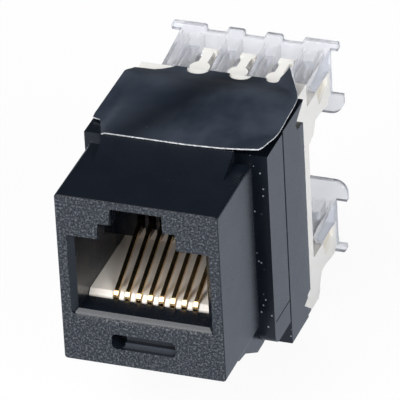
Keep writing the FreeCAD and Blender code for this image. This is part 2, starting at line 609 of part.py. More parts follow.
def idc_block():
    """The ivory terminal block: plug-in body, collar, two towers and ear."""
    body = centred(BLOCK_HALF_WIDTH, (BLOCK_FRONT, COLLAR_FRONT + JOIN_OVERLAP),
                   (BORE_BOTTOM + SLIP_FIT, BORE_TOP - SLIP_FIT))
    collar = centred(BLOCK_HALF_WIDTH, (COLLAR_FRONT, BLOCK_REAR), (COLLAR_BOTTOM, COLLAR_TOP))
    ear = block((-BODY_HALF_WIDTH, 1 - BLOCK_HALF_WIDTH),
                (COLLAR_FRONT, COLLAR_FRONT + EAR_LENGTH), (COLLAR_TOP - EAR_HEIGHT, COLLAR_TOP))
    pieces = [body, collar, ear, block_foot()] + [tower(top) for top in ROW_TOPS]
    between = [x + TERMINAL_PITCH / 2 for x in row_positions(TERMINALS_PER_ROW, TERMINAL_PITCH)[:-1]]
    pieces += [divider_post(x, top) for top in ROW_TOPS for x in between]
    root_low = ROW_TOPS[0] - TOWER_HEIGHT - TOWER_BELLY - TOWER_ROOT_DROP
    recess = centred(BLOCK_HALF_WIDTH - GUIDE_RECESS_MARGIN,
                     (BLOCK_REAR - GUIDE_RECESS_DEPTH, BLOCK_REAR + 1),
                     (ROW_TOPS[1] + GUIDE_RECESS_MARGIN, root_low - GUIDE_RECESS_MARGIN))
    pin_relief = centred(CONTACT_COUNT * CONTACT_PITCH / 2,
                         (BLOCK_FRONT - 1, BOARD_REAR + CONTACT_PIN_STICK_OUT + SLIP_FIT),
                         (CONTACT_RUN_Z - PIN_RELIEF_HEIGHT / 2, CONTACT_RUN_Z + PIN_RELIEF_HEIGHT / 2))
    cuts = [recess, pin_relief] + [cut for top in ROW_TOPS for cut in row_cuts(top)]
    return joined(pieces).cut(cuts)


def idc_blade(x, tower_top):
    """A slotted blade that pierces the wire, with its board pin."""
    half = BLADE_WIDTH / 2
    pin_half = BLADE_PIN_WIDTH / 2
    slot_half = BLADE_SLOT_WIDTH / 2
    mouth_half = BLADE_MOUTH_WIDTH / 2
    shoulder = BLOCK_FRONT + SLIP_FIT
    pin_end = BOARD_FRONT - BLADE_PIN_STICK_OUT
    slot_start = BLADE_REAR - BLADE_SLOT_DEPTH
    mouth_start = BLADE_REAR - mouth_half
    outline = [(-pin_half, pin_end), (pin_half, pin_end), (pin_half, shoulder), (half, shoulder),
               (half, BLADE_REAR), (mouth_half, BLADE_REAR), (slot_half, mouth_start),
               (slot_half, slot_start), (-slot_half, slot_start), (-slot_half, mouth_start),
               (-mouth_half, BLADE_REAR), (-half, BLADE_REAR), (-half, shoulder), (-pin_half, shoulder)]
    middle = blade_height(tower_top)
    return plan_prism([(x + dx, y) for dx, y in outline],
                      (middle - BLADE_THICKNESS / 2, middle + BLADE_THICKNESS / 2))


# ---- clear caps ------------------------------------------------------------
def cap_arm(x, z_low, z_high):
    """A U-channel arm with a round nose that lies over one wire slot."""
    half = CAP_ARM_WIDTH / 2
    rear = CAP_FRONT + CAP_WALL / 2
    front = rear - CAP_ARM_LENGTH
    outer = block((x - half, x + half), (front + half, rear), (z_low, z_high))
    outer = outer.fuse(Part.makeCylinder(half, z_high - z_low, V(x, front + half, z_low)))
    inner_half = half - CAP_ARM_WALL
    floor_z = z_low + CAP_ARM_FLOOR
    channel = block((x - inner_half, x + inner_half), (front + half, rear + 1), (floor_z, z_high + 1))
    nose = Part.makeCylinder(inner_half, z_high - z_low + 1, V(x, front + half, floor_z))
    return outer.cut([channel, nose])


def lip_outline(half, z_root, z_tip):
    """Front view of a lip whose two free corners are round."""
    way = 1 if z_tip > z_root else -1
    radius = CAP_LIP_ROUND
    corner = z_tip - way * radius
    diagonal = radius * math.sqrt(0.5)
    points = [V(-half, 0, z_root), V(-half, 0, corner), V(radius - half, 0, z_tip),
              V(half - radius, 0, z_tip), V(half, 0, corner), V(half, 0, z_root)]
    left_mid = V(radius - half - diagonal, 0, corner + way * diagonal)
    right_mid = V(half - radius + diagonal, 0, corner + way * diagonal)
    edges = [Part.LineSegment(points[0], points[1]), Part.Arc(points[1], left_mid, points[2]),
             Part.LineSegment(points[2], points[3]), Part.Arc(points[3], right_mid, points[4]),
             Part.LineSegment(points[4], points[5]), Part.LineSegment(points[5], points[0])]
    return Part.Face(Part.Wire([edge.toShape() for edge in edges]))


def crown(x, half_width, outer, outer_way):
    """One round-cornered crown on the bar; the end ones reach out as tongues."""
    side = 1 if x > 0 else -1
    low_x = abs(x) - CAP_CROWN_WIDTH / 2
    high_x = abs(x) + CAP_CROWN_WIDTH / 2 if abs(x) < TERMINAL_PITCH else half_width
    tip = outer + outer_way * CAP_CROWN_HEIGHT
    body = block(sorted((side * low_x, side * high_x)), (CAP_FRONT, CAP_FRONT + CAP_BAR_DEPTH),
                 sorted((outer - outer_way * CAP_CROWN_OVERLAP, tip)))
    tip_edges = [edge for edge in edges_along(body, V(0, 1, 0))
                 if abs(edge.BoundBox.Center.z - tip) < TOLERANCE]
    return body.makeFillet(CAP_CROWN_ROUND, tip_edges)


def row_cap(tower_top, outer_way):
    """A clear cap over one row; outer_way is +1 for the top row, -1 below."""
    over = tower_top + CAP_CLEARANCE
    top = tower_top + CAP_HEIGHT - CAP_CROWN_HEIGHT
    under = tower_top - TOWER_HEIGHT - CAP_CLEARANCE
    outer = top if outer_way > 0 else under - CAP_OUTER_REACH
    inner = under if outer_way > 0 else top
    pieces = [centred(BLOCK_HALF_WIDTH, (CAP_FRONT, CAP_REAR), sorted((outer, inner)))]
    bar_z = sorted((outer, outer - outer_way * CAP_WALL))
    pieces.append(centred(BLOCK_HALF_WIDTH, (CAP_FRONT, CAP_FRONT + CAP_BAR_DEPTH), bar_z))
    for x in row_positions(TERMINALS_PER_ROW, TERMINAL_PITCH):
        pieces.append(crown(x, BLOCK_HALF_WIDTH + CAP_TONGUE_OVERHANG, outer, outer_way))
        pieces.append(cap_arm(x, over, top))
    for side in (-1, 1):
        wall_x = sorted((side * BLOCK_HALF_WIDTH, side * (BLOCK_HALF_WIDTH - CAP_SIDE_WALL)))
        pieces.append(block(wall_x, (CAP_FRONT - CAP_ARM_LENGTH + CAP_WALL, CAP_REAR), (over, top)))
    lip = lip_outline(BLOCK_HALF_WIDTH + CAP_LIP_OVERHANG, inner, inner - outer_way * CAP_LIP_HEIGHT)
    lip.translate(V(0, CAP_FRONT, 0))
    pieces.append(lip.extrude(V(0, CAP_WALL, 0)))
    return joined(pieces)


# ---- film label ------------------------------------------------------------
def film_curve():
    """Control points of the film's underside, from the tooth to the block."""
    seat = SLEEVE_TOP + FILM_LIFT
    rear_seat = COLLAR_TOP + FILM_LIFT
    slope_end = SLEEVE_REAR + FILM_REAR_LENGTH
    return [V(0, BEZEL_DEPTH - FILM_FRONT_OVERHANG, TOOTH_TOP + FILM_LIFT),
            V(0, FLANGE_FRONT + FILM_CREST_SETBACK, TOOTH_TOP),
            V(0, SLEEVE_FRONT, seat + FILM_SAG), V(0, FLAP_ROOT, seat + FILM_SAG),
            V(0, slope_end - 2 * FILM_FOOT_STEP, rear_seat), V(0, slope_end, rear_seat)]


def film_side_curve(lift):
    """The smooth side curve of the film, raised by lift."""
    curve = Part.BSplineCurve()
    curve.buildFromPoles([point + V(0, 0, lift) for point in film_curve()], False, 3)
    return curve


def film_height(back):
    """Height of the film's underside at one distance behind the front."""
    curve = film_side_curve(0)
    low, high = curve.FirstParameter, curve.LastParameter
    while high - low > SEARCH_LIMIT:
        middle = (low + high) / 2
        if curve.value(middle).y < back:
            low = middle
        else:
            high = middle
    return curve.value(low).z


def film_sheet():
    """The bent film before it is cut to shape."""
    low, high = film_side_curve(0), film_side_curve(FILM_THICKNESS)
    ends = [Part.LineSegment(low.EndPoint, high.EndPoint),
            Part.LineSegment(high.StartPoint, low.StartPoint)]
    edges = [low.toShape(), ends[0].toShape(), high.toShape(), ends[1].toShape()]
    face = Part.Face(Part.Wire(edges))
    face.translate(V(-BODY_HALF_WIDTH, 0, 0))
    return face.extrude(V(2 * BODY_HALF_WIDTH, 0, 0))


def film_flap():
    """The rear right corner that has peeled and stands clear."""
    reach = max(back for _, back in FILM_FLAP_OUTLINE)
    root = film_height(FLAP_ROOT)
    points = [V(x, FLAP_ROOT + back, root + back * FILM_FLAP_RISE / reach)
              for x, back in FILM_FLAP_OUTLINE]
    return prism(points, V(0, 0, FILM_THICKNESS))


def top_label():
    """The thin black film stuck over the latch, with its cut and peeled edges."""
    half = BODY_HALF_WIDTH
    front = BEZEL_DEPTH - FILM_FRONT_OVERHANG
    back = SLEEVE_REAR + FILM_REAR_LENGTH
    notch_x = FILM_NOTCH_WIDTH - half
    left_cut_x = FILM_LEFT_CUT_WIDTH - half
    flap_left = FILM_FLAP_OUTLINE[-1][0]
    outline = [(notch_x, front), (half - FILM_FRONT_BOW, front + FILM_FRONT_BOW),
               (half - FILM_FRONT_BOW / 2, front + 2 * FILM_FRONT_BOW),
               (half, BEZEL_DEPTH + FILM_CORNER_CUT),
               (half, FLAP_ROOT), (flap_left, FLAP_ROOT), (flap_left, back), (left_cut_x, back),
               (left_cut_x, back - FILM_LEFT_CUT_LENGTH), (-half, back - FILM_LEFT_CUT_LENGTH),
               (-half, BEZEL_DEPTH + FILM_NOTCH_LENGTH),
               (notch_x - FILM_NOTCH_SLOPE, FLANGE_FRONT + FILM_FRONT_BOW),
               (notch_x, BEZEL_DEPTH)]
    sheet = film_sheet().common(plan_prism(outline, (COLLAR_TOP - 1, TOOTH_TOP + 1)))
    scallops = [Part.makeCylinder(radius, TOOTH_TOP - COLLAR_TOP + 1, V(x, back, COLLAR_TOP))
                for x, radius in FILM_SCALLOPS]
    return joined([sheet.cut(scallops), film_flap()])


# ---- write every node ------------------------------------------------------
def main():
    """Build each piece and write it to its own STEP file."""
    os.makedirs("parts", exist_ok=True)
    save("front_housing", front_housing())
    save("rear_sleeve", rear_sleeve())
    save("contact_carrier", contact_carrier())
    for number, x in enumerate(row_positions(CONTACT_COUNT, CONTACT_PITCH), 1):
        save(f"contact_{number}", contact(x))
    save("circuit_board", circuit_board())
    save("idc_block", idc_block())
    for number, (tower_top, x) in enumerate(terminal_sites(), 1):
        save(f"idc_blade_{number}", idc_blade(x, tower_top))
    save("upper_cap", row_cap(ROW_TOPS[0], 1))
    save("lower_cap", row_cap(ROW_TOPS[1], -1))
    save("top_label", top_label())


main()
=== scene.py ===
"""Keystone jack: finishes, eased mouldings, peeled film, floor, light and camera."""

import logging
import math
from dataclasses import dataclass
from enum import Enum
from typing import Callable, Union

import bmesh
import bpy
from mathutils import Matrix, Vector


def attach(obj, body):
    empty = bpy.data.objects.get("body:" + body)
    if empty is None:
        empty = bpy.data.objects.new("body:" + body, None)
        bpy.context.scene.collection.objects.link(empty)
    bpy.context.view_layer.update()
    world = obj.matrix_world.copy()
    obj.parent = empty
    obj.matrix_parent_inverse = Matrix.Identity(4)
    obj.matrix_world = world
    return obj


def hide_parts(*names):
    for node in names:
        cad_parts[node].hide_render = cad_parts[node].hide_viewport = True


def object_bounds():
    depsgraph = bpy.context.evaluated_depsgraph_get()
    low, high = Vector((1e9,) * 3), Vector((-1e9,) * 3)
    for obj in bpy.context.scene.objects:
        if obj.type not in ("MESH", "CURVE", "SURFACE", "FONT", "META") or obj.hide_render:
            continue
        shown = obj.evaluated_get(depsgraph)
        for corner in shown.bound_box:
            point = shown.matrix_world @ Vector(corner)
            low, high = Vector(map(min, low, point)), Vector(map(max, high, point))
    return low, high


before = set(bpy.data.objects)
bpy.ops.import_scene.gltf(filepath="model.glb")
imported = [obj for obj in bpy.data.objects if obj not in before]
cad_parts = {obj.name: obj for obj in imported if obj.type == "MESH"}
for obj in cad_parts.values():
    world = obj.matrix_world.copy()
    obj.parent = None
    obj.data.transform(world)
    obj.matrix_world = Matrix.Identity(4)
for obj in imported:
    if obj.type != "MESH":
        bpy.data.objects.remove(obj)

LOG = logging.getLogger("keystone_jack")
MM = 0.001
CAD_BOUNDS = [list(corner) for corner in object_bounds()]

PLASTIC_INDEX = 1.5

Number = Union[int, float]
Span = tuple[float, float]
Triple = tuple[float, float, float]
Colour = Triple


class Body(str, Enum):
    """The rigid groups that a piece can ride on."""

    JACK = "jack"
    UPPER_CAP = "upper_cap"
    LOWER_CAP = "lower_cap"


class Slot(str, Enum):
    """The record's material slots."""

    HOUSING = "housing_black"
    CARRIER = "carrier_ivory"
    CONTACT = "contact_gold"
    BOARD = "board_green"
    BLOCK = "block_ivory"
    BLADE = "blade_tin"
    CAP = "cap_clear"
    FILM = "film_charcoal"


# ---- shader writing --------------------------------------------------------
class Signal:
    """A shader socket that takes part in plain arithmetic."""

    def __init__(self, writer: "ShaderWriter", socket: bpy.types.NodeSocket) -> None:
        """Keep the socket and the writer that adds nodes beside it."""
        self.writer = writer
        self.socket = socket

    def _math(self, operation: str, first: "Operand", second: "Operand") -> "Signal":
        """Add one Math node.

        Args:
            operation: The Math node's operation.
            first: Its first input.
            second: Its second input.

        Returns:
            The node's value.
        """
        return self.writer.node("ShaderNodeMath", {"operation": operation}, {0: first, 1: second})

    def __add__(self, other: "Operand") -> "Signal":
        """Sum."""
        return self._math("ADD", self, other)

    __radd__ = __add__

    def __sub__(self, other: "Operand") -> "Signal":
        """Difference."""
        return self._math("SUBTRACT", self, other)

    def __rsub__(self, other: Number) -> "Signal":
        """Difference from a number."""
        return self._math("SUBTRACT", other, self)

    def __mul__(self, other: "Operand") -> "Signal":
        """Product."""
        return self._math("MULTIPLY", self, other)

    __rmul__ = __mul__

    def at_most(self, other: "Operand") -> "Signal":
        """The smaller of two values."""
        return self._math("MINIMUM", self, other)

    def size(self) -> "Signal":
        """The value without its sign."""
        return self._math("ABSOLUTE", self, 0.0)


Operand = Union[Signal, Number]


@dataclass(frozen=True)
class Cloud:
    """One cloudy noise: size of a cloud in metres, finer layers and stretch along each axis."""

    size: float
    detail: float = 2.0
    roughness: float = 0.5
    stretch: Triple = (1, 1, 1)


@dataclass(frozen=True)
class Dust:
    """Scattered specks: spacing of the cells that may hold one, in metres, and its radius as a share."""

    spacing: float
    share: float


class ShaderWriter:
    """Builds one node material."""

    NODE_SPACING = 190
    FIRST_COLOUR, SECOND_COLOUR = 6, 7
    MIXED_COLOUR = 2
    SPECK_CORE = 0.5

    def __init__(self, name: str) -> None:
        """Start an empty material.

        Args:
            name: The material's name.
        """
        self.material = bpy.data.materials.new(name)
        self.material.use_nodes = True
        self.tree = self.material.node_tree
        self.tree.nodes.clear()
        self._column = 0

    def node(self, kind: str, settings: dict | None = None, inputs: dict | None = None,
             output: int | str = 0) -> Signal:
        """Add a node, set it up, then fill its sockets.

        Args:
            kind: The node's type.
            settings: Attributes to set before the sockets.
            inputs: Values or signals by socket name or number.
            output: Which output to hand back.

        Returns:
            The chosen output.
        """
        made = self.tree.nodes.new(kind)
        made.location = (self._column * self.NODE_SPACING, 0)
        self._column += 1
        for key, value in (settings or {}).items():
            setattr(made, key, value)
        for key, value in (inputs or {}).items():
            if isinstance(value, Signal):
                self.tree.links.new(value.socket, made.inputs[key])
            else:
                made.inputs[key].default_value = value
        return Signal(self, made.outputs[output])

    def place(self) -> Signal:
        """The point in the jack's own frame, in metres."""
        return self.node("ShaderNodeTexCoord", output="Object")

    def along(self, axis: int) -> Signal:
        """One coordinate of the point, in metres."""
        return self.node("ShaderNodeSeparateXYZ", inputs={0: self.place()}, output=axis)

    def facing(self, axis: int) -> Signal:
        """One part of the surface normal."""
        normal = self.node("ShaderNodeTexCoord", output="Normal")
        return self.node("ShaderNodeSeparateXYZ", inputs={0: normal}, output=axis)

    def step(self, value: Signal, low: float, high: float) -> Signal:
        """A smooth rise from 0 at low to 1 at high."""
        settings = {"interpolation_type": "SMOOTHSTEP", "clamp": True}
        sockets = {"Value": value, "From Min": low, "From Max": high}
        return self.node("ShaderNodeMapRange", settings, sockets)

    def before(self, axis: int, end: float, fade: float) -> Signal:
        """1 up to a place along one axis, falling to 0 behind it.

        Args:
            axis: 0, 1 or 2.
            end: Where the fall starts, in metres.
            fade: How long it is, in metres.

        Returns:
            The share.
        """
        return 1 - self.step(self.along(axis), end, end + fade)

    def noise(self, cloud: Cloud) -> Signal:
        """Cloudy noise.

        Args:
            cloud: Its size, layers and stretch.

        Returns:
            A value near 0.5 that varies over the surface.
        """
        mapped = self.node("ShaderNodeMapping", inputs={"Vector": self.place(), "Scale": cloud.stretch})
        sockets = {"Vector": mapped, "Scale": 1.0 / cloud.size, "Detail": cloud.detail,
                   "Roughness": cloud.roughness}
        return self.node("ShaderNodeTexNoise", inputs=sockets)

    def flecks(self, dust: Dust) -> Signal:
        """Scattered small specks.

        Args:
            dust: Their spacing and size.

        Returns:
            1 inside a speck and 0 outside.
        """
        sockets = {"Vector": self.place(), "Scale": 1.0 / dust.spacing}
        cells = self.node("ShaderNodeTexVoronoi", inputs=sockets)
        return 1 - self.step(cells, dust.share * self.SPECK_CORE, dust.share)

    def blend(self, share: Operand, first: "Colour | Signal", second: "Colour | Signal") -> Signal:
        """Mix two colours.

        Args:
            share: How much of the second colour.
            first: Colour or colour signal.
            second: Colour or colour signal.

        Returns:
            The mixed colour.
        """
        sockets: dict[int | str, object] = {0: share}
        for key, value in ((self.FIRST_COLOUR, first), (self.SECOND_COLOUR, second)):
            sockets[key] = value if isinstance(value, Signal) else (*value, 1.0)
        return self.node("ShaderNodeMix", {"data_type": "RGBA"}, sockets, output=self.MIXED_COLOUR)

    def bump(self, height: Signal, depth: float, strength: float = 1.0) -> Signal:
        """A bumped normal.

        Args:
            height: Height between 0 and 1.
            depth: Real height of the bumps in metres.
            strength: Share of the effect.

        Returns:
            The normal.
        """
        sockets = {"Height": height, "Distance": depth, "Strength": strength}
        return self.node("ShaderNodeBump", inputs=sockets)

    def finish(self, **sockets: object) -> bpy.types.Material:
        """Close the material with a Principled surface.

        Args:
            **sockets: Principled inputs, with underscores for spaces.

        Returns:
            The material.
        """
        inputs: dict[int | str, object] = {}
        for key, value in sockets.items():
            is_colour = isinstance(value, tuple) and len(value) == 3 and key != "Subsurface_Radius"
            inputs[key.replace("_", " ")] = (*value, 1.0) if is_colour else value
        surface = self.node("ShaderNodeBsdfPrincipled", inputs=inputs)
        self.node_output(surface)
        return self.material

    def node_output(self, surface: Signal) -> None:
        """Join a surface to the material's output."""
        made = self.tree.nodes.new("ShaderNodeOutputMaterial")
        self.tree.links.new(surface.socket, made.inputs["Surface"])


# ---- finishes --------------------------------------------------------------
def dimmed(colour: Colour, share: float) -> Colour:
    """A colour times a share."""
    return tuple(part * share for part in colour)


@dataclass(frozen=True)
class BlackMoulding:
    """Black plastic: coarse spark texture on the front face, whose colour carries painted highlights,
    painted glints and painted shade; satin elsewhere, with painted light on the marker slot's inner step; a
    little dust.
    """

    base: Colour = (0.0045, 0.0066, 0.0105)
    base_lift: float = 1.4
    cloud: Cloud = Cloud(2.6 * MM)
    # Painted highlight: the paler colour that the grain's high points take on the front face, for light
    # caught by the spark texture.
    front: Colour = (0.017, 0.0215, 0.029)
    # Painted glints: the pale colour of scattered specks on the front face, standing for light caught by the
    # texture.
    painted_glint: Colour = (0.20, 0.215, 0.24)
    speck_share: float = 0.42
    grain: Cloud = Cloud(0.21 * MM, roughness=0.6)
    glint_grain: Cloud = Cloud(0.189 * MM, roughness=0.6)
    grain_depth: float = 0.075 * MM
    grain_strength: float = 0.9
    painted_peak_range: Span = (0.38, 0.62)
    pit_range: Span = (0.25, 0.75)
    glint_range: Span = (0.47, 0.68)
    wave: Cloud = Cloud(0.5 * MM)
    wave_share: float = 0.06
    # Painted light: the paler colour of the marker slot's inner step, standing for light falling on it.
    painted_ledge_light: Colour = (0.024, 0.029, 0.037)
    dust: Colour = (0.26, 0.28, 0.32)
    loose_dust: Dust = Dust(1.3 * MM, 0.045)
    loose_dust_share: float = 0.4
    dusty_range: Span = (0.46, 0.58)
    flange_dust: Dust = Dust(0.8 * MM, 0.13)
    roughness: float = 0.27
    roughness_spread: float = 0.10
    front_roughness: float = 0.40
    gloss: float = 0.4
    forward_range: Span = (0.6, 0.9)
    front_depth: float = 0.12 * MM
    slot_top: float = 3.25 * MM
    ledge_depth: float = 0.9 * MM
    ledge_fade: float = 0.1 * MM
    flange: Span = (8.0 * MM, 9.0 * MM)

    def material(self) -> bpy.types.Material:
        """Write the material."""
        w = ShaderWriter("black_moulding")
        forward = w.step(w.facing(1) * -1.0, *self.forward_range)
        on_front = w.before(1, self.front_depth, self.front_depth) * forward
        fine, broad = w.noise(self.grain), w.noise(self.cloud)
        colour = w.blend(on_front, self._satin(w, forward, broad), self._textured(w, fine))
        rough = self.roughness + on_front * (self.front_roughness - self.roughness)
        rough = rough + (broad - 0.5) * self.roughness_spread
        waves = w.noise(self.wave) * self.wave_share
        height = on_front * w.step(fine, *self.pit_range) + (1 - on_front) * waves
        return w.finish(Base_Color=colour, Roughness=rough, IOR=PLASTIC_INDEX, Specular_IOR_Level=self.gloss,
                        Normal=w.bump(height, self.grain_depth, self.grain_strength))

    def _satin(self, w: ShaderWriter, forward: Signal, broad: Signal) -> Signal:
        """The colour away from the front face.

        Args:
            w: The material's writer.
            forward: 1 where the surface faces the front.
            broad: The broad cloud.

        Returns:
            Near black, with dust and painted light that makes the marker slot's inner step slightly paler.
        """
        on_ledge = w.before(2, self.slot_top, self.ledge_fade) * forward
        on_ledge = on_ledge * w.before(1, self.ledge_depth, self.ledge_fade)
        on_flange = w.step(w.along(1), *self.flange) * forward
        loose = w.flecks(self.loose_dust) * w.step(broad, *self.dusty_range) * self.loose_dust_share
        dust = loose + w.flecks(self.flange_dust) * on_flange
        satin = w.blend(broad, self.base, dimmed(self.base, self.base_lift))
        # The inner step of the marker slot takes painted light.
        return w.blend(on_ledge, w.blend(dust, satin, self.dust), self.painted_ledge_light)

    def _textured(self, w: ShaderWriter, fine: Signal) -> Signal:
        """The colour of the front face: painted shade in the pits, painted highlight on the high points and
        painted glints in scattered specks.
        """
        # Painted glints scattered over the front face's colour.
        sparkle = w.step(w.noise(self.glint_grain), *self.glint_range)
        # Painted shade and highlight: the grain's pits keep the near-black base, its high points turn paler.
        painted_peak_light = w.blend(w.step(fine, *self.painted_peak_range), self.base, self.front)
        return w.blend(sparkle * self.speck_share, painted_peak_light, self.painted_glint)


@dataclass(frozen=True)
class Ivory:
    """Ivory plastic with a faint mottle and a darker tan on the recessed side patches."""

    name: str = Slot.BLOCK.value
    base: Colour = (0.86, 0.845, 0.81)
    shade: Colour = (0.81, 0.79, 0.745)
    mottle: Cloud = Cloud(1.8 * MM, 3.0)
    recess: Colour = (0.64, 0.59, 0.50)
    recess_share: float = 0.8
    recess_x: float = 6.55 * MM
    recess_edge: Span = (0.02 * MM, 0.06 * MM)
    sideways_range: Span = (0.8, 0.95)
    has_recess: bool = True
    roughness: float = 0.42
    roughness_spread: float = 0.15
    texture: Cloud = Cloud(0.16 * MM)
    texture_depth: float = 0.006 * MM
    texture_strength: float = 0.6
    glow: float = 0.12
    glow_spread: Colour = (1.0, 0.8, 0.6)
    glow_depth: float = 0.5 * MM

    def material(self) -> bpy.types.Material:
        """Write the material."""
        w = ShaderWriter(self.name)
        mottle = w.noise(self.mottle)
        colour = w.blend(mottle, self.base, self.shade)
        if self.has_recess:
            off_recess = w.step((w.along(0).size() - self.recess_x).size(), *self.recess_edge)
            sideways = w.step(w.facing(0).size(), *self.sideways_range)
            colour = w.blend((1 - off_recess) * sideways * self.recess_share, colour, self.recess)
        rough = self.roughness + (mottle - 0.5) * self.roughness_spread
        grained = w.bump(w.noise(self.texture), self.texture_depth, self.texture_strength)
        return w.finish(Base_Color=colour, Roughness=rough, IOR=PLASTIC_INDEX, Normal=grained,
                        Subsurface_Weight=self.glow, Subsurface_Radius=self.glow_spread,
                        Subsurface_Scale=self.glow_depth)


@dataclass(frozen=True)
class GoldWire:
    """Gold-plated spring wire with drawn lines along its length."""

    base: Colour = (0.85, 0.62, 0.32)
    worn: Colour = (0.62, 0.42, 0.22)
    wear: Cloud = Cloud(0.9 * MM)
    wear_range: Span = (0.42, 0.7)
    roughness: float = 0.17
    roughness_spread: float = 0.2
    lines: Cloud = Cloud(0.09 * MM, stretch=(1.0, 0.06, 0.06))
    line_depth: float = 0.004 * MM
    line_strength: float = 0.5

    def material(self) -> bpy.types.Material:
        """Write the material."""
        w = ShaderWriter(Slot.CONTACT.value)
        drawn = w.noise(self.lines)
        colour = w.blend(w.step(w.noise(self.wear), *self.wear_range), self.base, self.worn)
        rough = self.roughness + (drawn - 0.5) * self.roughness_spread
        return w.finish(Base_Color=colour, Metallic=1.0, Roughness=rough,
                        Normal=w.bump(drawn, self.line_depth, self.line_strength))


@dataclass(frozen=True)
class TinStrip:
    """Tin-plated blade strip with rolled lines."""

    base: Colour = (0.70, 0.69, 0.66)
    dim_share: float = 0.8
    roughness: float = 0.3
    roughness_spread: float = 0.15
    lines: Cloud = Cloud(0.12 * MM, stretch=(1.0, 0.08, 1.0))

    def material(self) -> bpy.types.Material:
        """Write the material."""
        w = ShaderWriter(Slot.BLADE.value)
        rolled = w.noise(self.lines)
        colour = w.blend(rolled, self.base, dimmed(self.base, self.dim_share))
        rough = self.roughness + rolled * self.roughness_spread
        return w.finish(Base_Color=colour, Metallic=1.0, Roughness=rough)


@dataclass(frozen=True)
class BoardLacquer:
    """Green solder mask over a glass weave."""

    base: Colour = (0.015, 0.11, 0.045)
    lift: float = 1.6
    weave_scale: float = 900.0
    weave_distortion: float = 1.0
    weave_share: float = 0.4
    weave_depth: float = 0.004 * MM
    weave_strength: float = 0.5
    roughness: float = 0.3
    roughness_spread: float = 0.08

    def material(self) -> bpy.types.Material:
        """Write the material."""
        w = ShaderWriter(Slot.BOARD.value)
        weave = w.node("ShaderNodeTexWave", {"wave_type": "BANDS", "bands_direction": "X"},
                       {"Vector": w.place(), "Scale": self.weave_scale,
                        "Distortion": self.weave_distortion})
        colour = w.blend(weave * self.weave_share, self.base, dimmed(self.base, self.lift))
        return w.finish(Base_Color=colour, Roughness=self.roughness + weave * self.roughness_spread,
                        Normal=w.bump(weave, self.weave_depth, self.weave_strength))


@dataclass(frozen=True)
class ClearPlastic:
    """Clear plastic, a little milky, with a faint violet grey in its thickness."""

    tint: Colour = (0.845, 0.855, 0.90)
    dim_share: float = 0.95
    haze: Cloud = Cloud(1.2 * MM, 3.0)
    haze_range: Span = (0.4, 0.75)
    haze_roughness: float = 0.10
    roughness: float = 0.06
    wave: Cloud = Cloud(0.8 * MM, 1.0)
    wave_depth: float = 0.008 * MM
    wave_strength: float = 0.3
    index: float = 1.28
    clearness: float = 0.78
    shine: float = 0.5
    shine_roughness: float = 0.08

    def material(self) -> bpy.types.Material:
        """Write the material."""
        w = ShaderWriter(Slot.CAP.value)
        haze = w.noise(self.haze)
        colour = w.blend(haze, self.tint, dimmed(self.tint, self.dim_share))
        rough = self.roughness + w.step(haze, *self.haze_range) * self.haze_roughness
        wavy = w.bump(w.noise(self.wave), self.wave_depth, self.wave_strength)
        return w.finish(Base_Color=colour, Roughness=rough, Normal=wavy, IOR=self.index,
                        Transmission_Weight=self.clearness, Coat_Weight=self.shine,
                        Coat_Roughness=self.shine_roughness)


@dataclass(frozen=True)
class Film:
    """Charcoal film with a soft sheen, a slanting stripe of painted reflection that darkens its colour, and
    a little dust.
    """

    base: Colour = (0.0200, 0.0270, 0.0400)
    lift: Colour = (0.0420, 0.0520, 0.0710)
    cloud: Cloud = Cloud(3.5 * MM, 3.0, 0.55, (1.0, 0.6, 1.0))
    lift_range: Span = (0.3, 0.7)
    # Painted reflection: the near-black colour of a slanting stripe, standing for a reflection on the film.
    painted_reflection: Colour = (0.0050, 0.0075, 0.0125)
    reflection_band_x: float = -2.6 * MM
    reflection_band_y: float = 12.0 * MM
    reflection_band_slope: float = 0.30
    reflection_band_half_width: float = 4.2 * MM
    reflection_band_wander: float = 1.6 * MM
    reflection_band_share: float = 0.85
    dust: Colour = (0.22, 0.24, 0.27)
    specks: Dust = Dust(1.7 * MM, 0.04)
    speck_share: float = 0.45
    dusty_range: Span = (0.45, 0.6)
    roughness: float = 0.46
    roughness_spread: float = 0.2
    bend: Span = (16.5 * MM, 19.5 * MM)
    bend_roughness: float = 0.35
    ripple: Cloud = Cloud(2.2 * MM, 1.0, 0.4, (0.5, 1.0, 1.0))
    ripple_depth: float = 0.04 * MM
    ripple_strength: float = 0.6
    gloss: float = 0.3

    def material(self) -> bpy.types.Material:
        """Write the material."""
        w = ShaderWriter(Slot.FILM.value)
        cloud = w.noise(self.cloud)
        # Painted reflection: a slanting stripe, wandering with the cloud, where the colour turns near black.
        off_reflection_band = w.along(0) - self.reflection_band_x - (w.along(1) - self.reflection_band_y) * self.reflection_band_slope
        off_reflection_band = (off_reflection_band + (cloud - 0.5) * self.reflection_band_wander).size()
        painted_reflection_band = 1 - w.step(off_reflection_band, 0.0, self.reflection_band_half_width)
        specks = w.flecks(self.specks) * w.step(cloud, *self.dusty_range)
        clouded = w.blend(w.step(cloud, *self.lift_range), self.base, self.lift)
        colour = w.blend(painted_reflection_band * self.reflection_band_share, clouded, self.painted_reflection)
        colour = w.blend(specks * self.speck_share, colour, self.dust)
        rippled = w.bump(w.noise(self.ripple), self.ripple_depth, self.ripple_strength)
        rear = w.step(w.along(1), *self.bend)
        rough = self.roughness + (cloud - 0.5) * self.roughness_spread + rear * self.bend_roughness
        return w.finish(Base_Color=colour, Roughness=rough, Normal=rippled, IOR=PLASTIC_INDEX,
                        Specular_IOR_Level=self.gloss)


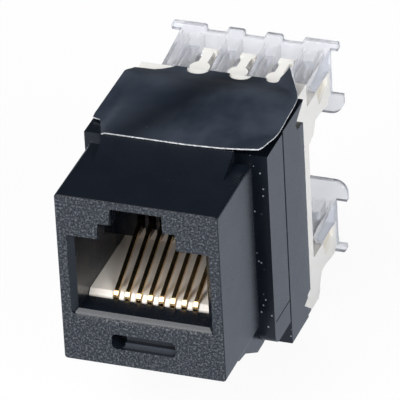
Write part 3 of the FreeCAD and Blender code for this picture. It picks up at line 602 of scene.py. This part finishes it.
@dataclass(frozen=True)
class FilmEdge:
    """Pale cut edge of the film."""

    base: Colour = (0.62, 0.63, 0.65)
    dim_share: float = 0.6
    grain: Cloud = Cloud(0.5 * MM, 3.0, 0.6)
    pale_range: Span = (0.4, 0.6)
    roughness: float = 0.5
    roughness_spread: float = 0.1

    def material(self) -> bpy.types.Material:
        """Write the material."""
        w = ShaderWriter("film_edge")
        cut = w.noise(self.grain)
        colour = w.blend(w.step(cut, *self.pale_range), self.base, dimmed(self.base, self.dim_share))
        return w.finish(Base_Color=colour, Roughness=self.roughness + cut * self.roughness_spread)


# ---- modelling by hand, in code --------------------------------------------
Test = Callable[[Vector], bool]


def only(piece: bpy.types.Object) -> None:
    """Make one object the only selected and the active one."""
    bpy.ops.object.select_all(action="DESELECT")
    piece.select_set(True)
    bpy.context.view_layer.objects.active = piece


def pick(piece: bpy.types.Object, test: Test, kind: str = "VERT") -> int:
    """Select parts of the mesh in edit mode by their place.

    Args:
        piece: The object in edit mode.
        test: Says whether a middle point is wanted.
        kind: VERT or EDGE.

    Returns:
        How many were selected.
    """
    bpy.ops.mesh.select_mode(type=kind)
    bpy.ops.mesh.select_all(action="DESELECT")
    mesh = bmesh.from_edit_mesh(piece.data)
    count = 0
    for part in mesh.verts if kind == "VERT" else mesh.edges:
        middle = part.co if kind == "VERT" else (part.verts[0].co + part.verts[1].co) / 2
        if test(middle):
            part.select_set(True)
            count += 1
    mesh.select_flush_mode()
    bmesh.update_edit_mesh(piece.data)
    return count


def apply(piece: bpy.types.Object, kind: str, **settings: object) -> None:
    """Add a modifier, set it and apply it.

    Args:
        piece: The object it shapes.
        kind: The modifier's type.
        **settings: Its attributes.
    """
    only(piece)
    modifier = piece.modifiers.new(kind.lower(), kind)
    for key, value in settings.items():
        setattr(modifier, key, value)
    bpy.ops.object.modifier_apply(modifier=modifier.name)


def settle(piece: bpy.types.Object) -> None:
    """Put the piece's place into its mesh."""
    only(piece)
    bpy.ops.object.transform_apply(location=True, rotation=True, scale=True)


def dress(piece: bpy.types.Object, *materials: bpy.types.Material) -> None:
    """Replace all of an object's materials."""
    piece.data.materials.clear()
    for material in materials:
        piece.data.materials.append(material)


def between(value: float, start: float, end: float) -> float:
    """A smooth rise from 0 at start to 1 at end."""
    share = min(1.0, max(0.0, (value - start) / (end - start)))
    return share * share * (3 - 2 * share)


def read_off(line: tuple[tuple[float, float], ...], place: float) -> float:
    """Read a value off a broken line.

    Args:
        line: Pairs of place and value, in rising order of place.
        place: Where to read.

    Returns:
        The value there.
    """
    for (start, low), (end, high) in zip(line, line[1:]):
        if place <= end:
            share = max(0.0, (place - start) / (end - start))
            return low + (high - low) * share
    return line[-1][1]


@dataclass
class Dressing:
    """Gives finishes to the CAD nodes that keep their own shape."""

    contact_count: int = 8
    blade_count: int = 8
    carrier_base: Colour = (0.95, 0.89, 0.82)
    carrier_shade: Colour = (0.89, 0.82, 0.74)

    def build(self) -> list[str]:
        """Dress every kept node.

        Returns:
            The names of the dressed nodes.
        """
        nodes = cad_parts
        gold, tin = GoldWire().material(), TinStrip().material()
        carrier = Ivory(Slot.CARRIER.value, self.carrier_base, self.carrier_shade, has_recess=False)
        finishes = {"contact_carrier": carrier.material(), "circuit_board": BoardLacquer().material()}
        finishes.update({f"contact_{n}": gold for n in range(1, self.contact_count + 1)})
        finishes.update({f"idc_blade_{n}": tin for n in range(1, self.blade_count + 1)})
        for name, material in finishes.items():
            dress(nodes[name], material)
        return sorted(finishes)


@dataclass(frozen=True)
class Region:
    """A box in millimetres that picks parts of a mesh."""

    low: Triple
    high: Triple

    def holds(self, point: Vector) -> bool:
        """Say whether a point lies inside."""
        return all(low * MM <= value <= high * MM for low, value, high in zip(self.low, point, self.high))


Lip = tuple[Region, float]
Slant = tuple[Region, Triple]


@dataclass
class EasedMoulding:
    """A moulding whose sharp edges get the small radius of a real mould."""

    node: str
    body: Body
    slot: Slot
    radius: float = 0.08 * MM
    segments: int = 2
    lips: tuple[Lip, ...] = ()
    lip_segments: int = 5
    slants: tuple[Slant, ...] = ()
    same_point: float = 0.0005 * MM
    flat_angle: float = 0.6
    edge_angle: float = 32.0
    smooth_angle: float = 46.0
    area_weight: int = 100

    def build(self, material: bpy.types.Material) -> bpy.types.Object:
        """Copy the node, join its facets and ease its edges.

        Args:
            material: The finish.

        Returns:
            The eased piece, which stands for the node.
        """
        piece = self._joined_copy()
        apply(piece, "BEVEL", width=self.radius, segments=self.segments, limit_method="ANGLE",
              angle_limit=math.radians(self.edge_angle), use_clamp_overlap=True, harden_normals=False,
              miter_outer="MITER_ARC")
        only(piece)
        bpy.ops.object.shade_smooth_by_angle(angle=math.radians(self.smooth_angle))
        apply(piece, "WEIGHTED_NORMAL", mode="FACE_AREA", weight=self.area_weight, keep_sharp=True)
        dress(piece, material)
        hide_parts(self.node)
        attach(piece, self.body.value)
        return piece

    def _joined_copy(self) -> bpy.types.Object:
        """Duplicate the node's mesh, join its flat facets, then slant corners and round lips."""
        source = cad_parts[self.node]
        bpy.ops.object.select_all(action="DESELECT")
        piece = bpy.data.objects.new(self.node + "_eased", source.data.copy())
        bpy.context.scene.collection.objects.link(piece)
        only(piece)
        bpy.ops.object.mode_set(mode="EDIT")
        bpy.ops.mesh.select_all(action="SELECT")
        bpy.ops.mesh.remove_doubles(threshold=self.same_point)
        bpy.ops.mesh.dissolve_limited(angle_limit=math.radians(self.flat_angle), delimit={"NORMAL"})
        for region, move in self.slants:
            LOG.info("%s: %d corners slanted", self.node, pick(piece, region.holds))
            bpy.ops.transform.translate(value=[step * MM for step in move])
        for lip, lip_radius in self.lips:
            LOG.info("%s: %d lip edges", self.node, pick(piece, lip.holds, "EDGE"))
            bpy.ops.mesh.bevel(offset=lip_radius * MM, segments=self.lip_segments, affect="EDGES")
        bpy.ops.mesh.select_all(action="DESELECT")
        bpy.ops.object.mode_set(mode="OBJECT")
        return piece


# Front edges of the plug opening that are rounded: where each lies, and its radius in millimetres.
MOUTH_LIPS = ((Region((-1.0, -0.02, 4.30), (1.0, 0.02, 4.55)), 0.45),
              (Region((-6.45, -0.02, 7.0), (-6.2, 0.02, 10.0)), 0.24),
              (Region((6.2, -0.02, 7.0), (6.45, 0.02, 10.0)), 0.24),
              (Region((-3.47, -0.02, 13.17), (-3.43, 0.02, 13.28)), 0.2),
              (Region((-2.32, -0.02, 14.75), (-2.28, 0.02, 14.85)), 0.2))
# Corners of the opening's lead-in that move to make it steeper, and how far, in millimetres.
MOUTH_SLANTS = (
    (Region((-6.1, 0.75, 4.65), (6.1, 0.85, 4.75)), (0, -0.25, 0.25)),
    (Region((-6.1, 0.75, 4.80), (-6.0, 0.85, 12.5)), (0.2, -0.25, 0)),
    (Region((6.0, 0.75, 4.80), (6.1, 0.85, 12.5)), (-0.2, -0.25, 0)),
    (Region((-6.1, 0.50, 4.90), (-6.0, 0.60, 5.0)), (0.2, 0, 0)),
    (Region((6.0, 0.50, 4.90), (6.1, 0.60, 5.0)), (-0.2, 0, 0)))


@dataclass(frozen=True)
class CapForm:
    """How a clear cap differs from its plain solid, in millimetres."""

    row_top: float
    half_width: float = 7.0
    foot_inside: float = 6.3
    front: float = 24.0
    arm_front_end: float = 25.6
    floor_front_end: float = 26.0
    rear: float = 31.0
    floor_height: Span = (0.5, 0.65)
    arm_top_height: Span = (1.9, 2.5)
    foot_height: float = 0.4
    arm_drop: float = 0.8
    foot_setback: float = 1.3
    front_floor_rise: float = 0.72
    rear_floor_rise: float = 1.5

    def slants(self) -> tuple[Slant, ...]:
        """Let the arms and side walls fall away in front, and raise the floors.

        Returns:
            Pairs of a region and the move of the corners in it.
        """
        wide, base = self.half_width, self.row_top
        arm_low, arm_high = (base + height for height in self.arm_top_height)
        floor_low, floor_high = (base + height for height in self.floor_height)
        foot_top = base + self.foot_height
        arm_tops = Region((-wide, self.front, arm_low), (wide, self.arm_front_end, arm_high))
        left_foot = Region((-wide, self.front, base), (-self.foot_inside, self.arm_front_end, foot_top))
        right_foot = Region((self.foot_inside, self.front, base), (wide, self.arm_front_end, foot_top))
        front_floor = Region((-wide, self.front, floor_low), (wide, self.floor_front_end, floor_high))
        rear_floor = Region((-wide, self.floor_front_end, floor_low), (wide, self.rear, floor_high))
        return ((arm_tops, (0, 0, -self.arm_drop)), (left_foot, (0, self.foot_setback, 0)),
                (right_foot, (0, self.foot_setback, 0)), (front_floor, (0, 0, self.front_floor_rise)),
                (rear_floor, (0, 0, self.rear_floor_rise)))


@dataclass(frozen=True)
class FilmRow:
    """One row of the film: distance back, height and the two ends, in millimetres."""

    y: float
    z: float
    left: float
    right: float


@dataclass
class FilmLabel:
    """The thin film over the latch: draped sheet, curled corner, scalloped rear."""

    columns: int = 46
    thickness: float = 0.12 * MM
    rows: tuple[FilmRow, ...] = tuple(FilmRow(*row) for row in (
        (8.3, 17.59, -5.95, 7.80), (9.6, 17.535, -6.45, 8.00), (10.6, 17.475, -6.85, 8.17),
        (11.2, 17.43, -7.10, 8.18), (11.75, 17.395, -7.35, 8.18), (11.95, 17.38, -8.12, 8.18),
        (12.6, 17.34, -8.18, 8.18), (13.4, 17.29, -8.18, 8.18), (14.1, 17.24, -8.18, 8.18),
        (15.4, 17.18, -8.18, 8.18), (16.8, 17.11, -8.18, 8.16), (18.0, 17.02, -8.18, 8.05),
        (18.8, 16.91, -8.18, 7.92), (19.4, 16.79, -8.18, 7.78), (20.0, 16.62, -8.18, 7.54),
        (20.4, 16.47, -8.18, 7.35), (20.9, 16.25, -8.18, 7.10), (21.4, 16.01, -8.18, 6.85),
        (21.9, 15.78, -8.18, 6.57), (22.3, 15.63, -8.18, 6.35), (22.5, 15.56, -6.40, 6.25),
        (22.95, 15.43, -5.90, 6.00), (23.45, 15.37, -5.35, 5.45), (23.9, 15.34, -4.90, 4.72)))
    bow: tuple[tuple[float, float], ...] = ((-6.0, 0.0), (1.5, 0.0), (4.6, 0.2), (6.3, 0.48), (7.8, 0.8))
    seat_height: float = 16.64
    left_bend: tuple[float, float] = (-5.5, -7.5)
    right_bend: tuple[float, float] = (6.0, 8.2)
    right_sag: tuple[tuple[float, float], ...] = (
        (8.0, 0.0), (10.6, 0.0), (11.8, 0.25), (13.0, 0.42),
        (14.1, 0.28), (16.0, 0.04), (17.0, 0.0), (30.0, 0.0))
    fold_from: tuple[float, float] = (8.2, 18.0)
    fold_to: tuple[float, float] = (4.4, 23.3)
    curl: float = 1.58
    curl_power: int = 3
    scallops: tuple[tuple[float, float], ...] = ((-2.9, 1.0), (1.0, 1.0), (4.0, 0.65))
    cutter_sides: int = 40
    cutter_height: float = 3.0
    smooth_angle: float = 50.0
    row_reach: float = 0.02 * MM
    vertex_reach: float = 0.002 * MM
    least_rise: float = 0.004

    def build(self, material: bpy.types.Material, edge: bpy.types.Material) -> bpy.types.Object:
        """Model the film.

        Args:
            material: The film's face.
            edge: Its cut edge.

        Returns:
            The film, which stands for the plain label.
        """
        piece = self._strip()
        self._drape(piece)
        self._bend_edges(piece)
        self._bow_front(piece)
        bpy.ops.object.mode_set(mode="OBJECT")
        dress(piece, material, edge)
        apply(piece, "SOLIDIFY", thickness=self.thickness, offset=1.0, material_offset_rim=1)
        self._cut_scallops(piece)
        only(piece)
        bpy.ops.object.shade_smooth_by_angle(angle=math.radians(self.smooth_angle))
        settle(piece)
        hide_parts("top_label")
        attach(piece, Body.JACK.value)
        return piece

    def _strip(self) -> bpy.types.Object:
        """Start with the front strip of the film, in edit mode."""
        bpy.ops.object.select_all(action="DESELECT")
        first, second = self.rows[:2]
        width, depth = (first.right - first.left) * MM, (second.y - first.y) * MM
        bpy.ops.mesh.primitive_grid_add(x_subdivisions=self.columns, y_subdivisions=1, size=width,
                                        location=(0, 0, 0))
        piece = bpy.context.object
        piece.name = "film_label"
        bpy.ops.object.mode_set(mode="EDIT")
        bpy.ops.mesh.select_all(action="SELECT")
        bpy.ops.transform.resize(value=(1, depth / width, 1))
        middle = (first.right + first.left) / 2
        bpy.ops.transform.translate(value=(middle * MM, first.y * MM + depth / 2, first.z * MM))
        pick(piece, lambda p: p.y > first.y * MM + depth / 2)
        self._carry(first, FilmRow(first.y, second.z, second.left, second.right))
        return piece

    @staticmethod
    def _carry(old: FilmRow, new: FilmRow) -> None:
        """Move the selected row from one place and width to the next."""
        old_middle, new_middle = (old.left + old.right) / 2, (new.left + new.right) / 2
        bpy.ops.transform.translate(
            value=((new_middle - old_middle) * MM, (new.y - old.y) * MM, (new.z - old.z) * MM))
        share = (new.right - new.left) / (old.right - old.left)
        bpy.ops.transform.resize(value=(share, 1, 1), center_override=(new_middle * MM, 0, 0))

    def _drape(self, piece: bpy.types.Object) -> None:
        """Carry the film back over the sleeve and down onto the block."""
        for old, new in zip(self.rows[1:], self.rows[2:]):
            pick(piece, lambda p: abs(p.y - old.y * MM) < self.row_reach, "EDGE")
            bpy.ops.mesh.extrude_edges_move(TRANSFORM_OT_translate={"value": (0, 0, 0)})
            self._carry(old, new)

    def _bend_edges(self, piece: bpy.types.Object) -> None:
        """Lower both long edges towards the body and curl the rear right corner."""
        places = [vertex.co.copy() for vertex in bmesh.from_edit_mesh(piece.data).verts]
        for place in places:
            rise = self._rise(place.x / MM, place.y / MM, place.z / MM)
            if abs(rise) > self.least_rise:
                self._move_one(piece, place, (0, 0, rise * MM))

    def _rise(self, x: float, y: float, z: float) -> float:
        """How far one point of the film leaves the plain drape, in millimetres."""
        left_share = between(x, *self.left_bend)
        rise = min(0.0, self.seat_height - z) * left_share
        rise -= read_off(self.right_sag, y) * between(x, *self.right_bend)
        (x0, y0), (x1, y1) = self.fold_from, self.fold_to
        length = math.hypot(x1 - x0, y1 - y0)
        beyond = ((x - x0) * (y1 - y0) - (y - y0) * (x1 - x0)) / length
        return rise + self.curl * max(0.0, beyond) ** self.curl_power

    def _bow_front(self, piece: bpy.types.Object) -> None:
        """Draw the front edge back towards the right."""
        front = self.rows[0].y * MM
        places = [vertex.co.copy() for vertex in bmesh.from_edit_mesh(piece.data).verts]
        for place in places:
            shift = read_off(self.bow, place.x / MM)
            if abs(place.y - front) < self.row_reach and shift > 0:
                self._move_one(piece, place, (0, shift * MM, 0))

    def _move_one(self, piece: bpy.types.Object, place: Vector, move: Triple) -> None:
        """Select the vertex at one place and move it."""
        pick(piece, lambda p: (p - place).length < self.vertex_reach)
        bpy.ops.transform.translate(value=move)

    def _cut_scallops(self, piece: bpy.types.Object) -> None:
        """Cut the half-round bites that clear the divider posts."""
        back, height = self.rows[-1].y, self.rows[-1].z
        for x, radius in self.scallops:
            bpy.ops.object.select_all(action="DESELECT")
            bpy.ops.mesh.primitive_cylinder_add(
                vertices=self.cutter_sides, radius=radius * MM, depth=self.cutter_height * MM,
                location=(x * MM, back * MM, height * MM))
            cutter = bpy.context.object
            apply(piece, "BOOLEAN", operation="DIFFERENCE", object=cutter, solver="EXACT")
            bpy.data.objects.remove(cutter)


# ---- floor, light and camera -----------------------------------------------
@dataclass
class Studio:
    """Pale floor, soft lamps and the camera, whose places are in millimetres."""

    floor_drop: float = 0.4 * MM
    floor_size: float = 3.0
    floor_grey: float = 0.86
    floor_glow: float = 0.93
    mirrored_floor: Colour = (0.68, 0.74, 0.86)
    room: Colour = (0.70, 0.82, 1.00)
    room_strength: float = 0.07
    lamp_aim: Triple = (0.0, 12.0 * MM, 6.0 * MM)
    near_clip: float = 0.05
    middle: Triple = (0.0, 0.0, 8.15)
    distance: float = 500.0
    azimuth: float = 21.864
    elevation: float = 32.451
    roll: float = -3.573
    sensor: float = 36.0
    lens: float = 537.84
    target_right: float = 5.0284
    target_up: float = 7.4381
    lamps: tuple[tuple[str, Triple, float, float], ...] = (
        ("key", (0.46, -0.36, 0.30), 0.32, 3.3),
        ("top", (-0.16, -0.22, 0.49), 0.38, 2.0),
        ("front", (-0.14, -0.50, 0.35), 0.36, 2.3),
        ("fill", (-0.45, -0.34, 0.14), 0.40, 0.35))

    def build(self) -> None:
        """Make the floor, lamps, world and camera."""
        self._floor()
        for name, place, size, power in self.lamps:
            self._lamp(name, place, size, power)
        self._world()
        self._camera()

    def _floor(self) -> None:
        """Lay the pale floor under the jack."""
        low = Vector(CAD_BOUNDS[0])
        bpy.ops.object.select_all(action="DESELECT")
        bpy.ops.mesh.primitive_plane_add(size=self.floor_size, location=(0, 0, low.z - self.floor_drop))
        floor = bpy.context.object
        floor.name = "floor"
        w = ShaderWriter("floor_white")
        path = {name: w.node("ShaderNodeLightPath", output=name) for name in
                ("Is Camera Ray", "Is Glossy Ray", "Is Transmission Ray")}
        seen = path["Is Camera Ray"] * self.floor_glow + path["Is Glossy Ray"] + path["Is Transmission Ray"]
        lit = w.node("ShaderNodeBsdfDiffuse", inputs={"Color": (*[self.floor_grey] * 3, 1.0)})
        mirrored = path["Is Glossy Ray"] * (1 - path["Is Transmission Ray"])
        shown = w.blend(mirrored, (1.0, 1.0, 1.0), self.mirrored_floor)
        glow = w.node("ShaderNodeEmission", inputs={"Color": shown, "Strength": 1.0})
        mixed = w.node("ShaderNodeMixShader", inputs={0: seen.at_most(1.0), 1: lit, 2: glow})
        w.node_output(mixed)
        dress(floor, w.material)

    def _lamp(self, name: str, place: Triple, size: float, power: float) -> None:
        """Hang one soft square lamp that points at the jack.

        Args:
            name: The lamp's name.
            place: Its place in metres.
            size: Its side in metres.
            power: Its power in watts.
        """
        data = bpy.data.lights.new(name, "AREA")
        data.shape = "SQUARE"
        data.size = size
        data.energy = power
        lamp = bpy.data.objects.new(name, data)
        lamp.location = place
        lamp.rotation_euler = (Vector(self.lamp_aim) - Vector(place)).to_track_quat("-Z", "Y").to_euler()
        bpy.context.scene.collection.objects.link(lamp)

    def _world(self) -> None:
        """Give the room a soft, even, slightly blue light."""
        world = bpy.data.worlds.new("room")
        bpy.context.scene.world = world
        world.use_nodes = True
        background = world.node_tree.nodes["Background"]
        background.inputs["Color"].default_value = (*self.room, 1.0)
        background.inputs["Strength"].default_value = self.room_strength

    def _camera(self) -> None:
        """Place the camera."""
        azimuth, elevation = math.radians(self.azimuth), math.radians(self.elevation)
        back = Vector((math.sin(azimuth) * math.cos(elevation), -math.cos(azimuth) * math.cos(elevation),
                       math.sin(elevation)))
        level = Vector((math.cos(azimuth), math.sin(azimuth), 0))
        upright = back.cross(level)
        turn = math.radians(self.roll)
        right = level * math.cos(turn) + upright * math.sin(turn)
        up = upright * math.cos(turn) - level * math.sin(turn)
        middle = Vector(self.middle)
        eye = middle + back * self.distance
        target = middle + right * self.target_right + up * self.target_up
        look = (eye - target).normalized()
        side = up.cross(look).normalized()
        rise = look.cross(side)
        data = bpy.data.cameras.new("camera")
        data.sensor_width = self.sensor
        data.lens = self.lens
        data.clip_start = self.near_clip
        camera = bpy.data.objects.new("camera", data)
        bpy.context.scene.collection.objects.link(camera)
        columns = (side, rise, look)
        turned = Matrix([[column[row] for column in columns] for row in range(3)]).to_4x4()
        camera.matrix_world = Matrix.Translation(eye * MM) @ turned
        bpy.context.scene.camera = camera


HOUSING_RADIUS = 0.06 * MM
UPPER_ROW = CapForm(row_top=13.0)
LOWER_ROW = CapForm(row_top=-2.4)


def main() -> None:
    """Build every sub-assembly in order and report it."""
    logging.basicConfig(level=logging.INFO, format="%(message)s")
    bpy.context.scene.view_settings.view_transform = "Standard"
    LOG.info("dressed nodes: %s", ", ".join(Dressing().build()))
    black, ivory, clear = BlackMoulding().material(), Ivory().material(), ClearPlastic().material()
    mouldings = (
        (EasedMoulding("front_housing", Body.JACK, Slot.HOUSING, HOUSING_RADIUS, lips=MOUTH_LIPS,
                       slants=MOUTH_SLANTS), black),
        (EasedMoulding("rear_sleeve", Body.JACK, Slot.HOUSING), black),
        (EasedMoulding("idc_block", Body.JACK, Slot.BLOCK), ivory),
        (EasedMoulding("upper_cap", Body.UPPER_CAP, Slot.CAP, slants=UPPER_ROW.slants()), clear),
        (EasedMoulding("lower_cap", Body.LOWER_CAP, Slot.CAP, slants=LOWER_ROW.slants()), clear))
    for moulding, material in mouldings:
        piece = moulding.build(material)
        LOG.info("%s: %d faces", piece.name, len(piece.data.polygons))
    film = FilmLabel().build(Film().material(), FilmEdge().material())
    LOG.info("%s: %d faces", film.name, len(film.data.polygons))
    Studio().build()


if __name__ == "__main__":
    main()
